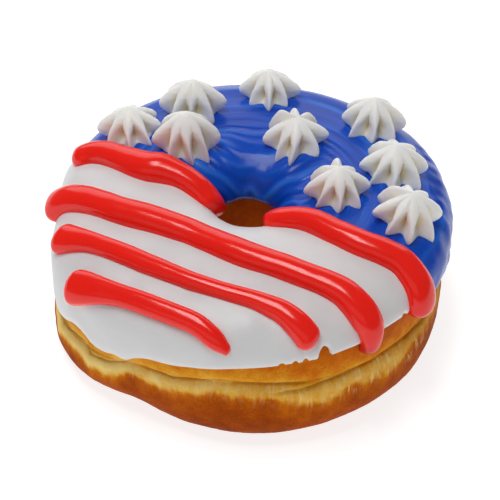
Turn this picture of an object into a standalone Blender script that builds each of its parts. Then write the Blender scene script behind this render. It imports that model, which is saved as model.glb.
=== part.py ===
"""A yeast-raised ring doughnut: white icing on its front half, blue icing on its back half, red lines
piped across it, and white piped stars on the blue half.

The ring stands on its flat underside. +Z is up, the front faces -Y, and the origin is on the table
under the middle of the whole. Sizes are in millimetres, measured from the ring's own axis, until a
mesh is made, which moves them to the origin and turns them to metres.

A place on the dough is given by two numbers: its azimuth round the ring in degrees, and its run, the
distance in millimetres along the ring's section from the crest, positive outwards and down the side,
negative towards and down the hole. Lift is the distance off the dough.
"""

import bisect
import math

import bpy
from mathutils import Vector

METRES_PER_MM = 0.001
RING_AXIS = Vector((-0.9, -0.1, 0.0))

# The ring's section: radius from the ring's axis, height from the table.
CREST_RADIUS, CREST_HEIGHT = 24.3, 35.8
SHOULDER_RADIUS, SHOULDER_HEIGHT, SHOULDER_ROUNDNESS = 45.8, 27.5, 0.86
CREASE_RADIUS, CREASE_HEIGHT = 44.3, 19.5
BELLY_RADIUS, BELLY_HEIGHT = 45.7, 12.0
FOOT_OUTER_RADIUS, FOOT_INNER_RADIUS, FOOT_ROUNDNESS = 36.5, 17.0, 0.92
THROAT_RADIUS, THROAT_HEIGHT, THROAT_ROUNDNESS = 8.8, 25.0, 0.62
BULGE_SHARPNESS = 2.6

# The ring isn't quite round: shares of its radius by which it swells twice and three times round,
# and how far its shoulder and its foot stand out besides, every 30 degrees from 0.
OVAL, THREE_LOBES = 0.014, -0.013
SHOULDER_PUSH = [-0.1, 1.2, 1.1, 2.5, 2.6, -1.0, -4.1, 0.0, 0.0, 0.0, 0.0, -1.2]
FOOT_PUSH = [-0.2, 0.0, 0.4, 0.7, 0.8, 0.7, 1.2, 1.4, -0.3, 2.1, 1.2, 0.5]

# How far the crease sags below its height, every 30 degrees from 0.
CREASE_SAG = [3.0, 1.0, 1.0, 1.0, 1.0, 2.5, 6.5, 7.0, 2.5, 0.2, 1.2, 3.0]

# Icing. The border between the two colours is a straight line seen from above. Its offset is how far
# it lies from the ring's axis, towards the front left.
ICING_THICKNESS, ICING_EDGE_THICKNESS, ICING_EDGE_ROUND = 1.7, 0.7, 2.2
BORDER_DIRECTION, BORDER_OFFSET = -29.5, 5.0
FRONT_AZIMUTH = BORDER_DIRECTION - 90
ICING_RUN = [28.0, 26.5, 27.5, 27.0, 28.0, 29.5, 31.5, 31.0, 30.0, 27.4, 25.8, 26.8]
ICING_RUN_IN_HOLE = [-21.0, -20.5, -20.0, -22.0, -23.0, -22.0]
CONTACT_GAP = 0.3

# Piped lines, parallel to the border. Each starts and ends at a run on the ring's outer side, or in
# the hole, and has rounded ends that are wider or narrower than the rest by the shares in swell.
LINE_HEIGHT, LINE_LIFT, LINE_GAP = 3.0, 3.5, 0.5
LINES = {
    "red_line_back_left": {
        "offset": 5.4, "ends": (19.8, -18.0), "half_width": 3.4, "swell": (0.0, 0.0)},
    "red_line_back_right": {
        "offset": 5.4, "ends": (-14.0, 27.0), "half_width": 3.4, "swell": (0.0, 0.1)},
    "red_line_middle": {
        "offset": 20.9, "ends": (21.6, 28.0), "half_width": 3.4, "swell": (0.2, 0.0)},
    "red_line_front": {
        "offset": 32.7, "ends": (20.6, 22.8), "half_width": 2.5, "swell": (0.3, 0.2)},
    "red_line_short": {
        "offset": 42.8, "ends": (22.2, 23.0), "half_width": 2.1, "swell": (0.5, -0.2)},
}
LINE_SWELL_LENGTH = 8.5
LINE_SECTION = [(-0.8, 0.0), (0.0, 0.0), (0.8, 0.0), (1.0, 0.45), (0.72, 0.85), (0.0, 1.0),
                (-0.72, 0.85), (-1.0, 0.45)]

# Piped stars: azimuth and run of the middle of the base, radius, and height.
STARS = [
    (141.5, 11.0, 7.7, 7.8),
    (114.0, 8.8, 7.9, 8.9),
    (132.5, -2.5, 7.7, 10.0),
    (82.0, 12.5, 7.0, 7.4),
    (58.0, -3.7, 7.7, 6.8),
    (-4.5, -3.8, 7.8, 9.2),
    (40.5, 13.3, 7.6, 8.2),
    (12.0, 9.6, 7.9, 9.0),
    (-14.8, 12.0, 8.2, 9.7),
]
# The front ridge of the second star is pressed short by the star in front of it.
PRESSED_STAR, PRESSED_SHARE = 2, 0.68
STAR_RIDGES, STAR_FRONT_RIDGE = 8, -90.0
STAR_LEAN = 0.35
# A star's ridges and valleys from the base to the tip: shares of its height and of its radius.
STAR_RIDGE = [(0.0, 0.94), (0.2, 1.0), (0.45, 0.86), (0.73, 0.46), (1.0, 0.05)]
STAR_VALLEY = [(0.0, 0.60), (0.2, 0.58), (0.45, 0.46), (0.73, 0.25), (1.0, 0.03)]
STAR_BASE_RINGS = [0.34, 0.67]

# How the solids are divided into faces.
DRAW_STEPS = 24
RING_COLUMNS = 54
ICING_COLUMNS = 24
TOP_ROWS, SIDE_ROWS, FOOT_ROWS, BASE_ROWS, HOLE_ROWS = 10, 3, 6, 2, 4
LINE_FACE_LENGTH, LINE_DRAW_STEPS = 3.2, 80
# Rows of faces on a line's rounded end, as shares of its half width from the tip.
LINE_END_ROWS = [0.02, 0.15, 0.5]
# Rows of faces on the icing's rounded edge, as shares of its rounding from the edge, how far from the
# edge in roundings the rows start to follow it, and the rows on the way there.
ICING_EDGE_ROWS = [0.0, 0.3, 1.0]
ICING_EDGE_REACH = 1.5
ICING_APPROACH_ROWS = [0.0, 0.5]
RUN_PRECISION = 0.01
# Rounds of correction after which an azimuth on a straight border or line no longer changes.
BORDER_ROUNDS, LINE_ROUNDS = 4, 6
# A row of faces spans about this turn or this length, whichever comes first.
FACE_TURN, FACE_LENGTH = 20.0, 9.0


def quarter(centre, half_width, half_height, roundness, start, end):
    """Points on part of a superellipse, from one angle up to another, in degrees."""
    points = []
    for step in range(DRAW_STEPS):
        angle = math.radians(start + (end - start) * step / DRAW_STEPS)
        across, up = math.cos(angle), math.sin(angle)
        points.append((
            centre[0] + half_width * math.copysign(abs(across) ** roundness, across),
            centre[1] + half_height * math.copysign(abs(up) ** roundness, up),
        ))
    return points


def bulge(full, crease, towards_crease):
    """Points on a wall that leaves its fullest place straight and curls in to the crease."""
    points = []
    for step in range(DRAW_STEPS):
        share = step / DRAW_STEPS if towards_crease else 1 - step / DRAW_STEPS
        inwards = (full[0] - crease[0]) * share**BULGE_SHARPNESS
        points.append((full[0] - inwards, full[1] + (crease[1] - full[1]) * share))
    return points


def section_pieces():
    """The ring's section in pieces, from the crest outwards, down, underneath and up the hole."""
    shoulder = (SHOULDER_RADIUS, SHOULDER_HEIGHT)
    crease = (CREASE_RADIUS, CREASE_HEIGHT)
    belly = (BELLY_RADIUS, BELLY_HEIGHT)
    return [
        quarter((CREST_RADIUS, SHOULDER_HEIGHT), SHOULDER_RADIUS - CREST_RADIUS,
                CREST_HEIGHT - SHOULDER_HEIGHT, SHOULDER_ROUNDNESS, 90, 0),
        bulge(shoulder, crease, True),
        bulge(belly, crease, False),
        quarter((FOOT_OUTER_RADIUS, BELLY_HEIGHT), BELLY_RADIUS - FOOT_OUTER_RADIUS,
                BELLY_HEIGHT, FOOT_ROUNDNESS, 0, -90),
        [(FOOT_OUTER_RADIUS, 0.0)],
        quarter((FOOT_INNER_RADIUS, THROAT_HEIGHT), FOOT_INNER_RADIUS - THROAT_RADIUS,
                THROAT_HEIGHT, FOOT_ROUNDNESS, -90, -180),
        quarter((CREST_RADIUS, THROAT_HEIGHT), CREST_RADIUS - THROAT_RADIUS,
                CREST_HEIGHT - THROAT_HEIGHT, THROAT_ROUNDNESS, 180, 90),
    ]


class Section:
    """A closed curve that is read by the distance run along it."""

    NORMAL_STEP = 0.5

    def __init__(self, pieces):
        self.points = [point for piece in pieces for point in piece]
        self.points.append(self.points[0])
        self.runs = [0.0]
        for (x0, z0), (x1, z1) in zip(self.points, self.points[1:]):
            self.runs.append(self.runs[-1] + math.hypot(x1 - x0, z1 - z0))
        self.length = self.runs[-1]
        starts = [sum(len(piece) for piece in pieces[:k]) for k in range(len(pieces))]
        self.piece_starts = [self.runs[start] for start in starts]

    def place(self, run):
        """(radius, height) at that run."""
        run %= self.length
        after = min(max(bisect.bisect_right(self.runs, run), 1), len(self.runs) - 1)
        share = (run - self.runs[after - 1]) / (self.runs[after] - self.runs[after - 1])
        (x0, z0), (x1, z1) = self.points[after - 1], self.points[after]
        return x0 + (x1 - x0) * share, z0 + (z1 - z0) * share

    def normal(self, run):
        """The outward direction at that run, as (radius, height)."""
        x0, z0 = self.place(run - self.NORMAL_STEP)
        x1, z1 = self.place(run + self.NORMAL_STEP)
        size = math.hypot(x1 - x0, z1 - z0)
        return (z0 - z1) / size, (x1 - x0) / size

    def spread(self, start, end, count):
        """Runs from start up to end, closer together where the section turns."""
        steps = DRAW_STEPS * 2
        runs = [start + (end - start) * step / steps for step in range(steps + 1)]
        measure = [0.0]
        for before, after in zip(runs, runs[1:]):
            n0, n1 = self.normal(before), self.normal(after)
            turn = math.degrees(math.acos(min(1.0, n0[0] * n1[0] + n0[1] * n1[1])))
            measure.append(measure[-1] + (after - before) / FACE_LENGTH + turn / FACE_TURN)
        found = []
        for k in range(count):
            wanted = measure[-1] * k / count
            after = bisect.bisect_right(measure, wanted)
            share = (wanted - measure[after - 1]) / (measure[after] - measure[after - 1])
            found.append(runs[after - 1] + (runs[after] - runs[after - 1]) * share)
        return found


SECTION = Section(section_pieces())
_, SHOULDER_RUN, CREASE_RUN, _, FOOT_RUN, HEEL_RUN, THROAT_RUN = SECTION.piece_starts
THROAT_RUN -= SECTION.length
HEEL_RUN -= SECTION.length


def swell(azimuth):
    """The ring's radius at that azimuth as a share of the round one, before it is pushed out."""
    angle = math.radians(azimuth)
    return 1 + OVAL * math.cos(2 * angle) + THREE_LOBES * math.cos(3 * angle)


def push(azimuth, radius, height):
    """How far the outer half of the ring stands out there. The top stays where it is."""
    outer = max(0.0, (radius - CREST_RADIUS) / (SHOULDER_RADIUS - CREST_RADIUS)) ** 2
    high = min(height / SHOULDER_HEIGHT, 1.0)
    shoulder = round_the_ring(SHOULDER_PUSH, azimuth)
    foot = round_the_ring(FOOT_PUSH, azimuth)
    return outer * (foot + (shoulder - foot) * high)


def on_ring(azimuth, run, lift=0.0):
    """The point at that azimuth, run and lift."""
    radius, height = SECTION.place(run)
    out, up = SECTION.normal(run)
    pushed = push(azimuth, radius, height)
    if radius > CREST_RADIUS and height < SHOULDER_HEIGHT:
        sagging = min(height / CREASE_HEIGHT, (SHOULDER_HEIGHT - height) / (SHOULDER_HEIGHT - CREASE_HEIGHT))
        height -= sagging * round_the_ring(CREASE_SAG, azimuth)
    reach = radius * swell(azimuth) + pushed + out * lift
    angle = math.radians(azimuth)
    return Vector((reach * math.cos(angle), reach * math.sin(angle), height + up * lift))


def ring_normal(azimuth, run):
    """The direction straight off the dough."""
    return (on_ring(azimuth, run, 1.0) - on_ring(azimuth, run)).normalized()


def moved(azimuth, run, along, outwards):
    """The place reached by going that far round the ring and that far outwards, in millimetres."""
    radius = SECTION.place(run)[0] * swell(azimuth)
    return azimuth + math.degrees(along / radius), run + outwards


def round_the_ring(values, azimuth):
    """A value that goes smoothly through values given at even steps round the ring, from 0 degrees."""
    where = (azimuth % 360) / 360 * len(values)
    k, share = int(where), where % 1
    v0, v1, v2, v3 = (values[(k + step) % len(values)] for step in (-1, 0, 1, 2))
    slope_in, slope_out = (v2 - v0) / 2, (v3 - v1) / 2
    rise = v2 - v1
    return v1 + share * (slope_in + share * (
        3 * rise - 2 * slope_in - slope_out + share * (slope_in + slope_out - 2 * rise)))


def icing_top(azimuth, run):
    """The lift of the icing's outer face, which rounds off at its edges and is nothing past them."""
    outer_edge = round_the_ring(ICING_RUN, azimuth)
    hole_edge = round_the_ring(ICING_RUN_IN_HOLE, azimuth)
    inside = min(outer_edge - run, run - hole_edge)
    if inside < -CONTACT_GAP:
        return 0.0
    share = 1 - max(0.0, min(inside / ICING_EDGE_ROUND, 1.0))
    rise = math.sqrt(1 - share * share)
    return CONTACT_GAP + ICING_EDGE_THICKNESS + (ICING_THICKNESS - ICING_EDGE_THICKNESS) * rise


def make_material(name, colour, roughness):
    """A surface of one colour. Nothing on a doughnut is metal."""
    material = bpy.data.materials.new(name)
    material.use_nodes = True
    shader = material.node_tree.nodes["Principled BSDF"]
    shader.inputs["Base Color"].default_value = (*colour, 1)
    shader.inputs["Roughness"].default_value = roughness
    shader.inputs["Metallic"].default_value = 0.0
    return material


def make_solid(name, points, faces, material):
    """One object from points in millimetres and the faces between them."""
    mesh = bpy.data.meshes.new(name)
    mesh.from_pydata([(point + RING_AXIS) * METRES_PER_MM for point in points], [], faces)
    mesh.shade_smooth()
    mesh.materials.append(material)
    made = bpy.data.objects.new(name, mesh)
    bpy.context.scene.collection.objects.link(made)
    return made


def ring_faces(first, following, count):
    """Faces between two closed rings of points, given by the index of each ring's first point."""
    faces = []
    for k in range(count):
        beyond = (k + 1) % count
        faces.append([first + k, first + beyond, following + beyond, following + k])
    return faces


def make_dough(material):
    """The ring itself, a closed grid round the ring and round its section."""
    outer_kept, hole_kept = kept_edges()
    stations = SECTION.spread(hole_kept, outer_kept, TOP_ROWS)
    stations += SECTION.spread(outer_kept, CREASE_RUN, SIDE_ROWS)
    stations += SECTION.spread(CREASE_RUN, FOOT_RUN, FOOT_ROWS)
    stations += SECTION.spread(FOOT_RUN, HEEL_RUN + SECTION.length, BASE_ROWS)
    stations += SECTION.spread(HEEL_RUN, hole_kept, HOLE_ROWS)
    rows = len(stations)
    points = []
    faces = []
    for column in range(RING_COLUMNS):
        azimuth = 360 * column / RING_COLUMNS
        points += [on_ring(azimuth, run) for run in stations]
        beyond = (column + 1) % RING_COLUMNS
        faces += ring_faces(column * rows, beyond * rows, rows)
    return make_solid("dough", points, faces, material)


def kept_edges():
    """The runs between which the icing's rows of faces match the dough's own."""
    turn = [round_the_ring(ICING_RUN, azimuth) for azimuth in range(360)]
    turn_in_hole = [round_the_ring(ICING_RUN_IN_HOLE, azimuth) for azimuth in range(360)]
    margin = ICING_EDGE_ROUND * ICING_EDGE_REACH
    return min(turn) - margin, max(turn_in_hole) + margin


def icing_runs(azimuth):
    """Runs of the icing's rows: the dough's own, and rows that close up to each wavy edge."""
    outer_kept, hole_kept = kept_edges()
    outer_edge = round_the_ring(ICING_RUN, azimuth)
    hole_edge = round_the_ring(ICING_RUN_IN_HOLE, azimuth)
    runs = [hole_edge + share * ICING_EDGE_ROUND for share in ICING_EDGE_ROWS]
    runs.append((runs[-1] + hole_kept) / 2)
    runs += SECTION.spread(hole_kept, outer_kept, TOP_ROWS)
    flat_end = outer_edge - ICING_EDGE_ROUND
    runs += [outer_kept + share * (flat_end - outer_kept) for share in ICING_APPROACH_ROWS]
    runs += [outer_edge - share * ICING_EDGE_ROUND for share in reversed(ICING_EDGE_ROWS)]
    return runs


def make_icing(name, side, material):
    """Half of the icing, a shell on the dough. side is 1 for the front and -1 for the back."""
    middle = FRONT_AZIMUTH if side > 0 else FRONT_AZIMUTH + 180
    offset = side * BORDER_OFFSET + CONTACT_GAP / 2
    rows = len(icing_runs(0))
    points = []
    for column in range(ICING_COLUMNS + 1):
        share = 2 * column / ICING_COLUMNS - 1
        outer, inner = [], []
        for row in range(rows):
            azimuth = middle + 90 * share
            for _ in range(BORDER_ROUNDS):
                run = icing_runs(azimuth)[row]
                radius = on_ring(azimuth, run).xy.length
                azimuth = middle + math.degrees(math.acos(offset / radius)) * share
            outer.append(on_ring(azimuth, run, icing_top(azimuth, run)))
            inner.append(on_ring(azimuth, run, CONTACT_GAP))
        points += outer + inner[::-1]
    around = 2 * rows
    faces = []
    for column in range(ICING_COLUMNS):
        faces += ring_faces(column * around, (column + 1) * around, around)
    last = ICING_COLUMNS * around
    for row in range(rows - 1):
        under = around - 1 - row
        faces.append([row + 1, row, under, under - 1])
        faces.append([last + row, last + row + 1, last + under - 1, last + under])
    return make_solid(name, points, faces, material)


def on_line(offset, side, run):
    """The azimuth at which a line crosses that run, on its left side (-1) or its right side (1)."""
    azimuth = FRONT_AZIMUTH
    for _ in range(LINE_ROUNDS):
        reach = on_ring(azimuth, run, LINE_LIFT).xy.length
        azimuth = FRONT_AZIMUTH + side * math.degrees(math.acos(min(1.0, offset / reach)))
    return azimuth


def nearest_run(offset):
    """The run at which a line that stays out of the hole comes closest to the ring's axis."""
    low, high = THROAT_RUN, SHOULDER_RUN
    while high - low > RUN_PRECISION:
        middle = (low + high) / 2
        if on_ring(FRONT_AZIMUTH, middle, LINE_LIFT).xy.length < offset:
            low = middle
        else:
            high = middle
    return high


def line_places(offset, left_end, right_end):
    """Places along a piped line, from its left end to its right end, closely spaced."""
    shares = [step / LINE_DRAW_STEPS for step in range(LINE_DRAW_STEPS + 1)]
    if min(left_end, right_end) < 0:
        side = -1 if right_end < 0 else 1
        runs = [left_end + (right_end - left_end) * share for share in shares]
        return [(on_line(offset, side, run), run) for run in runs]
    nearest = nearest_run(offset)
    left = [nearest + (left_end - nearest) * share * share for share in shares[:0:-1]]
    right = [nearest + (right_end - nearest) * share * share for share in shares]
    return [(on_line(offset, -1, run), run) for run in left] + [
        (on_line(offset, 1, run), run) for run in right]


def spaced_places(places, half_width):
    """Places at the rows of faces, each with its distance from the line's left and right end."""
    spots = [on_ring(azimuth, run, LINE_LIFT) for azimuth, run in places]
    travelled = [0.0]
    for before, after in zip(spots, spots[1:]):
        travelled.append(travelled[-1] + (after - before).length)
    length = travelled[-1]
    rounded = [share * half_width for share in LINE_END_ROWS]
    count = math.ceil((length - 2 * half_width) / LINE_FACE_LENGTH)
    step = (length - 2 * half_width) / count
    distances = rounded + [half_width + k * step for k in range(count + 1)]
    distances += [length - distance for distance in reversed(rounded)]
    found = []
    for distance in distances:
        after = bisect.bisect_right(travelled, distance)
        share = (distance - travelled[after - 1]) / (travelled[after] - travelled[after - 1])
        (a0, r0), (a1, r1) = places[after - 1], places[after]
        found.append((a0 + (a1 - a0) * share, r0 + (r1 - r0) * share, distance, length - distance))
    return found


def line_floor(azimuth, run):
    """The lift of what a line lies on. Past the icing's edge the line bridges down to the dough."""
    return max(icing_top(azimuth, run - back * LINE_FACE_LENGTH) for back in (0.0, 0.5, 1.0))


def make_line(name, line, material):
    """A piped line: a low rounded bead that follows the icing under it."""
    half_width = line["half_width"]
    rows = spaced_places(line_places(line["offset"], *line["ends"]), half_width)
    around = len(LINE_SECTION)
    points = []
    for k, (azimuth, run, from_left, from_right) in enumerate(rows):
        before, after = rows[max(k - 1, 0)], rows[min(k + 1, len(rows) - 1)]
        radius = SECTION.place(run)[0] * swell(azimuth)
        along = math.radians(after[0] - before[0]) * radius
        outwards = after[1] - before[1]
        size = math.hypot(along, outwards)
        width = half_width
        for distance, swelling in ((from_left, line["swell"][0]), (from_right, line["swell"][1])):
            width *= 1 + swelling * math.exp(-((distance / LINE_SWELL_LENGTH) ** 2))
        closeness = 1 - min(from_left, from_right, half_width) / half_width
        closing = math.sqrt(1 - closeness * closeness)
        for across, up in LINE_SECTION:
            aside = across * width * closing
            place = moved(azimuth, run, outwards / size * aside, -along / size * aside)
            lift = line_floor(*place) + LINE_GAP + up * LINE_HEIGHT * closing
            points.append(on_ring(*place, lift))
    faces = []
    for k in range(len(rows) - 1):
        faces += ring_faces(k * around, (k + 1) * around, around)
    faces.append(list(range(around))[::-1])
    faces.append(list(range(len(points) - around, len(points))))
    return make_solid(name, points, faces, material)


def make_star(name, star, front_share, material):
    """A piped star: ridges that rise from pointed toes to one pulled-off tip."""
    azimuth, run, radius, height = star
    lift = icing_top(azimuth, run) + CONTACT_GAP
    centre = on_ring(azimuth, run, lift)
    axis = Vector((0, 0, 1)).lerp(ring_normal(azimuth, run), STAR_LEAN).normalized()
    right = Vector((0, 1, 0)).cross(axis).normalized()
    back = axis.cross(right)
    outwards = Vector((math.cos(math.radians(azimuth)), math.sin(math.radians(azimuth)), 0))
    around = Vector((-outwards.y, outwards.x, 0))

    def spot(turn, reach, share):
        """A point of the star. Its base follows the icing, and its tip stands straight."""
        flat = right * (reach * math.cos(turn)) + back * (reach * math.sin(turn))
        rigid = centre + flat + axis * (share * height)
        place = moved(azimuth, run, flat.dot(around), flat.dot(outwards))
        wrapped = on_ring(*place, icing_top(*place) + CONTACT_GAP)
        return rigid + (wrapped - centre - flat) * (1 - share) ** 2

    count = 2 * STAR_RIDGES
    points = [centre]
    for share in STAR_BASE_RINGS:
        for k in range(count):
            turn = math.radians(STAR_FRONT_RIDGE) + k * math.tau / count
            reach = (STAR_VALLEY if k % 2 else STAR_RIDGE)[0][1] * radius * share
            points.append(spot(turn, reach * (front_share if k == 0 else 1), 0.0))
    for ridge, valley in zip(STAR_RIDGE, STAR_VALLEY):
        for k in range(count):
            turn = math.radians(STAR_FRONT_RIDGE) + k * math.tau / count
            level, reach = valley if k % 2 else ridge
            points.append(spot(turn, reach * radius * (front_share if k == 0 else 1), level))
    faces = [[0, 1 + (k + 1) % count, 1 + k] for k in range(count)]
    for ring in range(len(STAR_BASE_RINGS) + len(STAR_RIDGE) - 1):
        faces += ring_faces(1 + ring * count, 1 + (ring + 1) * count, count)
    faces.append(list(range(len(points) - count, len(points))))
    return make_solid(name, points, faces, material)


def main():
    for leftover in list(bpy.data.objects):
        bpy.data.objects.remove(leftover)
    crust = make_material("fried_dough", (0.62, 0.30, 0.07), 0.55)
    white = make_material("white_icing", (0.62, 0.61, 0.63), 0.35)
    blue = make_material("blue_icing", (0.03, 0.08, 0.42), 0.25)
    red = make_material("red_gel_icing", (0.80, 0.01, 0.005), 0.2)
    cream = make_material("piped_cream", (0.86, 0.84, 0.80), 0.5)
    make_dough(crust)
    make_icing("icing_white", 1, white)
    make_icing("icing_blue", -1, blue)
    for name, line in LINES.items():
        make_line(name, line, red)
    for number, star in enumerate(STARS, 1):
        make_star(f"star_{number}", star, PRESSED_SHARE if number == PRESSED_STAR else 1, cream)


main()
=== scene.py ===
# %% [markdown]
# # An iced ring doughnut
#
# A yeast-raised ring doughnut with white icing on its front, blue icing on its back, five red lines
# piped across it and nine stars of piped cream. It stands on its flat underside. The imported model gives
# the plain solids and the real size, and this file makes the fine pieces that stand in their place.

import math

import bpy
import numpy as np
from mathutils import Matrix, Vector, noise


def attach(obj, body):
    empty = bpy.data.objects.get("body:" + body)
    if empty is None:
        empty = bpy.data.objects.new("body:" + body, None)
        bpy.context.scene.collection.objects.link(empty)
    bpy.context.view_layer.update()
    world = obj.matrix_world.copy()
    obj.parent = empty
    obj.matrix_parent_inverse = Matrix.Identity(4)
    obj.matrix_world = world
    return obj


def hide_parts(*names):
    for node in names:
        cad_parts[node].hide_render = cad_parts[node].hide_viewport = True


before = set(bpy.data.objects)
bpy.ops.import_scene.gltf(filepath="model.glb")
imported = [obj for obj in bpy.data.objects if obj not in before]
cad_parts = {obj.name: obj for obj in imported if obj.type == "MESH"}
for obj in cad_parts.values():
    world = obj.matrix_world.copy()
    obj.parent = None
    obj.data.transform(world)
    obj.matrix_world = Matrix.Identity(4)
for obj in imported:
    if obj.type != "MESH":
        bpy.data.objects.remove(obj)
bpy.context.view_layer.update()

# %% [markdown]
# ## Where the camera stands
#
# The photograph looks down on the ring from 41 degrees, from straight in front and from about 45 cm away.
# A long lens keeps the ring's far side nearly as large as its near side. The camera is made first, so
# that every later piece can be judged through it.

# %% The camera
MM = 0.001
RING_AXIS = np.array([-0.9, -0.1, 0.0])
CAMERA_HEIGHT_ANGLE = math.radians(41)
CAMERA_DISTANCE = 445 * MM
LOOK_AT = Vector((-0.9, -0.1, 20.0)) * MM

camera_data = bpy.data.cameras.new("camera")
camera_data.lens = 136.5
camera_data.sensor_width = 36
camera_data.shift_x, camera_data.shift_y = 0.0036, -0.007
camera_data.clip_start = 0.01
camera = bpy.data.objects.new("camera", camera_data)
bpy.context.scene.collection.objects.link(camera)
backwards = Vector((0, -math.cos(CAMERA_HEIGHT_ANGLE), math.sin(CAMERA_HEIGHT_ANGLE)))
camera.location = LOOK_AT + backwards * CAMERA_DISTANCE
camera.rotation_euler = backwards.to_track_quat("Z", "Y").to_euler()
bpy.context.scene.camera = camera
print("camera at", [round(v, 3) for v in camera.location])

# %% [markdown]
# ## The ring's section
#
# Every piece lies on the ring, so all of them read one section. It is a fat loop with a flat foot, a
# straight throat, a full belly, and a crease half way up its outer side, where the two fried halves
# meet. A place on it is its **run**: the distance in millimetres from the crest, positive outwards and
# down the side, negative down the hole. With the azimuth round the ring and the lift off the dough, that
# is a set of coordinates that bends with the surface.

# %% Section and run
CREST_RADIUS, CREST_HEIGHT = 24.3, 35.8
SHOULDER_RADIUS, SHOULDER_HEIGHT = 45.8, 27.5
CREASE_RADIUS, CREASE_HEIGHT = 44.3, 19.5
BELLY_RADIUS, BELLY_HEIGHT = 45.7, 12.0
FOOT_OUTER_RADIUS, FOOT_INNER_RADIUS = 36.5, 17.0
THROAT_RADIUS, THROAT_HEIGHT = 8.8, 25.0
SHARES = np.linspace(0, 1, 120, endpoint=False)


def quarter(centre, half_width, half_height, roundness, start, end):
    """Points on part of a superellipse, from one angle up to another, in degrees."""
    angle = np.radians(start + (end - start) * SHARES)
    across, up = np.cos(angle), np.sin(angle)
    return np.column_stack([
        centre[0] + half_width * np.sign(across) * np.abs(across) ** roundness,
        centre[1] + half_height * np.sign(up) * np.abs(up) ** roundness])


def bulge(full, crease, share):
    """Points on a wall that leaves its fullest place straight and curls in to the crease."""
    return np.column_stack([
        full[0] - (full[0] - crease[0]) * share**2.6, full[1] + (crease[1] - full[1]) * share])


PIECES = [
    quarter((CREST_RADIUS, SHOULDER_HEIGHT), SHOULDER_RADIUS - CREST_RADIUS,
            CREST_HEIGHT - SHOULDER_HEIGHT, 0.86, 90, 0),
    bulge((SHOULDER_RADIUS, SHOULDER_HEIGHT), (CREASE_RADIUS, CREASE_HEIGHT), SHARES),
    bulge((BELLY_RADIUS, BELLY_HEIGHT), (CREASE_RADIUS, CREASE_HEIGHT), 1 - SHARES),
    quarter((FOOT_OUTER_RADIUS, BELLY_HEIGHT), BELLY_RADIUS - FOOT_OUTER_RADIUS, BELLY_HEIGHT, 0.92, 0, -90),
    np.array([[FOOT_OUTER_RADIUS, 0.0]]),
    quarter((FOOT_INNER_RADIUS, THROAT_HEIGHT), FOOT_INNER_RADIUS - THROAT_RADIUS,
            THROAT_HEIGHT, 0.92, -90, -180),
    quarter((CREST_RADIUS, THROAT_HEIGHT), CREST_RADIUS - THROAT_RADIUS,
            CREST_HEIGHT - THROAT_HEIGHT, 0.62, 180, 90),
]
OUTLINE = np.vstack(PIECES + [PIECES[0][:1]])
RUNS = np.concatenate([[0], np.cumsum(np.hypot(*np.diff(OUTLINE, axis=0).T))])
LENGTH = RUNS[-1]
STARTS = RUNS[np.cumsum([0] + [len(piece) for piece in PIECES[:-1]])]
SHOULDER_RUN, CREASE_RUN, FOOT_RUN, HEEL_RUN = STARTS[1], STARTS[2], STARTS[4], STARTS[5]
THROAT_RUN = STARTS[6] - LENGTH


def place_at(run):
    """Radius and height on the section at each run."""
    run = np.asarray(run) % LENGTH
    return np.interp(run, RUNS, OUTLINE[:, 0]), np.interp(run, RUNS, OUTLINE[:, 1])


def normal_at(run):
    """The outward direction at each run, as radius and height."""
    (x0, z0), (x1, z1) = place_at(run - 0.5), place_at(run + 0.5)
    size = np.hypot(x1 - x0, z1 - z0)
    return (z0 - z1) / size, (x1 - x0) / size


print(f"section {LENGTH:.1f} mm round, shoulder at run {SHOULDER_RUN:.1f}, crease at {CREASE_RUN:.1f}")

# %% [markdown]
# ## Round the ring
#
# A hand-cut ring is never a true circle. It swells a little twice and three times round, its shoulder
# and its foot stand out by different amounts, and its crease sags where the dough hung lower in the
# fryer. `round_the_ring` goes smoothly through values that are given at even steps of azimuth, and
# `on_ring` turns azimuth, run and lift into a point.

# %% From azimuth, run and lift to a point
# Millimetres at every 30 degrees from 0.
CREASE_SAG = [3.0, 1.0, 1.0, 1.0, 1.0, 2.5, 6.5, 7.0, 2.5, 0.2, 1.2, 3.0]
SHOULDER_PUSH = [-0.1, 1.2, 1.1, 2.5, 2.6, -1.0, -4.1, 0.0, 0.0, 0.0, 0.0, -1.2]
FOOT_PUSH = [-0.2, 0.0, 0.4, 0.7, 0.8, 0.7, 1.2, 1.4, -0.3, 2.1, 1.2, 0.5]


def round_the_ring(values, azimuth):
    """A value that goes smoothly through values given at even steps round the ring, from 0 degrees."""
    values = np.asarray(values, float)
    where = (np.asarray(azimuth, float) % 360) / 360 * len(values)
    k = where.astype(int)
    share = where % 1
    v0, v1, v2, v3 = (values[(k + step) % len(values)] for step in (-1, 0, 1, 2))
    slope_in, slope_out, rise = (v2 - v0) / 2, (v3 - v1) / 2, v2 - v1
    return v1 + share * (slope_in + share * (
        3 * rise - 2 * slope_in - slope_out + share * (slope_in + slope_out - 2 * rise)))


def swell(azimuth):
    """The ring's radius at that azimuth as a share of the round one."""
    angle = np.radians(azimuth)
    return 1 + 0.014 * np.cos(2 * angle) - 0.013 * np.cos(3 * angle)


def push(azimuth, radius, height):
    """How far the outer half of the ring stands out there. The top stays where it is."""
    outer = np.clip((radius - CREST_RADIUS) / (SHOULDER_RADIUS - CREST_RADIUS), 0, None) ** 2
    high = np.minimum(height / SHOULDER_HEIGHT, 1)
    shoulder, foot = round_the_ring(SHOULDER_PUSH, azimuth), round_the_ring(FOOT_PUSH, azimuth)
    return outer * (foot + (shoulder - foot) * high)


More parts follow.
